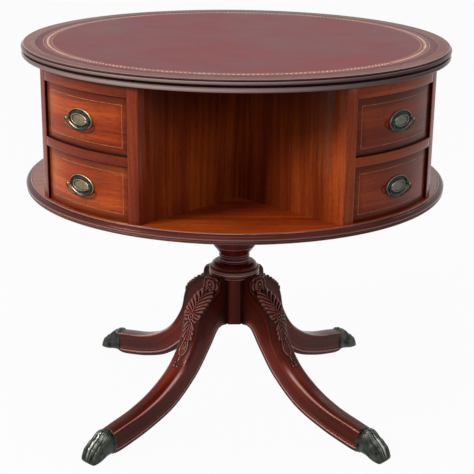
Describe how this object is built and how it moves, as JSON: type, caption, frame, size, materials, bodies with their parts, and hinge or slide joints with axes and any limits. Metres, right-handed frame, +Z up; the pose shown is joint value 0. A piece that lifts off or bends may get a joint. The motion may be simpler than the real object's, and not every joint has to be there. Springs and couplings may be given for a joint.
{
  "type": "drum table",
  "caption": "Round revolving drum table: leather-lined top, bow-front drawers in four arms with open book bays between, on a turned pedestal with sabre legs and brass paws.",
  "frame": {"origin": "centre of the foot print on the floor, on the drum's axis", "axes": "+Z up along the drum's axis; drawer arms and legs along +X, +Y, -X and -Y; the front arm faces -Y"},
  "size_m": [0.8203, 0.8204, 0.76],
  "materials": {
    "mahogany": "french polish",
    "secondary_wood": "plain",
    "leather": "gilt tooled",
    "antique_brass": "antique",
    "steel": "turned",
    "iron": "black"
  },
  "bodies": {
    "base": {"pedestal_column": "mahogany", "bearer_block": "secondary_wood", "leg_front": "mahogany", "leg_right": "mahogany", "leg_back": "mahogany", "leg_left": "mahogany", "paw_front": "antique_brass", "paw_right": "antique_brass", "paw_back": "antique_brass", "paw_left": "antique_brass", "leg_plate": "iron", "pivot_spindle": "steel", "spindle_nut": "steel"},
    "drum": {"shelf": "mahogany", "swivel_plate": "steel", "core_box": "secondary_wood", "side_panels_front": "mahogany", "side_panels_right": "mahogany", "side_panels_back": "mahogany", "side_panels_left": "mahogany", "face_frame_front": "mahogany", "face_frame_right": "mahogany", "face_frame_back": "mahogany", "face_frame_left": "mahogany", "dust_boards": "secondary_wood", "top_board": "mahogany", "leather_inset": "leather"},
    "drawer_front_upper": {"drawer_face_front_upper": "mahogany", "drawer_box_front_upper": "secondary_wood", "pull_plate_front_upper": "antique_brass"},
    "handle_front_upper": {"bail_front_upper": "antique_brass"},
    "drawer_front_lower": {"drawer_face_front_lower": "mahogany", "drawer_box_front_lower": "secondary_wood", "pull_plate_front_lower": "antique_brass"},
    "handle_front_lower": {"bail_front_lower": "antique_brass"},
    "drawer_right_upper": {"drawer_face_right_upper": "mahogany", "drawer_box_right_upper": "secondary_wood", "pull_plate_right_upper": "antique_brass"},
    "handle_right_upper": {"bail_right_upper": "antique_brass"},
    "drawer_right_lower": {"drawer_face_right_lower": "mahogany", "drawer_box_right_lower": "secondary_wood", "pull_plate_right_lower": "antique_brass"},
    "handle_right_lower": {"bail_right_lower": "antique_brass"},
    "drawer_back_upper": {"drawer_face_back_upper": "mahogany", "drawer_box_back_upper": "secondary_wood", "pull_plate_back_upper": "antique_brass"},
    "handle_back_upper": {"bail_back_upper": "antique_brass"},
    "drawer_back_lower": {"drawer_face_back_lower": "mahogany", "drawer_box_back_lower": "secondary_wood", "pull_plate_back_lower": "antique_brass"},
    "handle_back_lower": {"bail_back_lower": "antique_brass"},
    "drawer_left_upper": {"drawer_face_left_upper": "mahogany", "drawer_box_left_upper": "secondary_wood", "pull_plate_left_upper": "antique_brass"},
    "handle_left_upper": {"bail_left_upper": "antique_brass"},
    "drawer_left_lower": {"drawer_face_left_lower": "mahogany", "drawer_box_left_lower": "secondary_wood", "pull_plate_left_lower": "antique_brass"},
    "handle_left_lower": {"bail_left_lower": "antique_brass"}
  },
  "joints": [
    {"name": "drum_turn", "type": "hinge", "parent": "base", "child": "drum", "pos_m": [0, 0, 0.48], "axis": [0, 0, 1], "continuous": true},
    {"name": "slide_front_upper", "type": "slide", "parent": "drum", "child": "drawer_front_upper", "axis": [0, -1, 0], "range_m": [0, 0.2]},
    {"name": "swing_front_upper", "type": "hinge", "parent": "drawer_front_upper", "child": "handle_front_upper", "pos_m": [0, -0.4008, 0.66535], "axis": [-1, 0, 0], "range_deg": [0, 85]},
    {"name": "slide_front_lower", "type": "slide", "parent": "drum", "child": "drawer_front_lower", "axis": [0, -1, 0], "range_m": [0, 0.2]},
    {"name": "swing_front_lower", "type": "hinge", "parent": "drawer_front_lower", "child": "handle_front_lower", "pos_m": [0, -0.4008, 0.5475], "axis": [-1, 0, 0], "range_deg": [0, 85]},
    {"name": "slide_right_upper", "type": "slide", "parent": "drum", "child": "drawer_right_upper", "axis": [1, 0, 0], "range_m": [0, 0.2]},
    {"name": "swing_right_upper", "type": "hinge", "parent": "drawer_right_upper", "child": "handle_right_upper", "pos_m": [0.4008, 0, 0.66535], "axis": [0, -1, 0], "range_deg": [0, 85]},
    {"name": "slide_right_lower", "type": "slide", "parent": "drum", "child": "drawer_right_lower", "axis": [1, 0, 0], "range_m": [0, 0.2]},
    {"name": "swing_right_lower", "type": "hinge", "parent": "drawer_right_lower", "child": "handle_right_lower", "pos_m": [0.4008, 0, 0.5475], "axis": [0, -1, 0], "range_deg": [0, 85]},
    {"name": "slide_back_upper", "type": "slide", "parent": "drum", "child": "drawer_back_upper", "axis": [0, 1, 0], "range_m": [0, 0.2]},
    {"name": "swing_back_upper", "type": "hinge", "parent": "drawer_back_upper", "child": "handle_back_upper", "pos_m": [0, 0.4008, 0.66535], "axis": [1, 0, 0], "range_deg": [0, 85]},
    {"name": "slide_back_lower", "type": "slide", "parent": "drum", "child": "drawer_back_lower", "axis": [0, 1, 0], "range_m": [0, 0.2]},
    {"name": "swing_back_lower", "type": "hinge", "parent": "drawer_back_lower", "child": "handle_back_lower", "pos_m": [0, 0.4008, 0.5475], "axis": [1, 0, 0], "range_deg": [0, 85]},
    {"name": "slide_left_upper", "type": "slide", "parent": "drum", "child": "drawer_left_upper", "axis": [-1, 0, 0], "range_m": [0, 0.2]},
    {"name": "swing_left_upper", "type": "hinge", "parent": "drawer_left_upper", "child": "handle_left_upper", "pos_m": [-0.4008, 0, 0.66535], "axis": [0, 1, 0], "range_deg": [0, 85]},
    {"name": "slide_left_lower", "type": "slide", "parent": "drum", "child": "drawer_left_lower", "axis": [-1, 0, 0], "range_m": [0, 0.2]},
    {"name": "swing_left_lower", "type": "hinge", "parent": "drawer_left_lower", "child": "handle_left_lower", "pos_m": [-0.4008, 0, 0.5475], "axis": [0, 1, 0], "range_deg": [0, 85]}
  ]
}
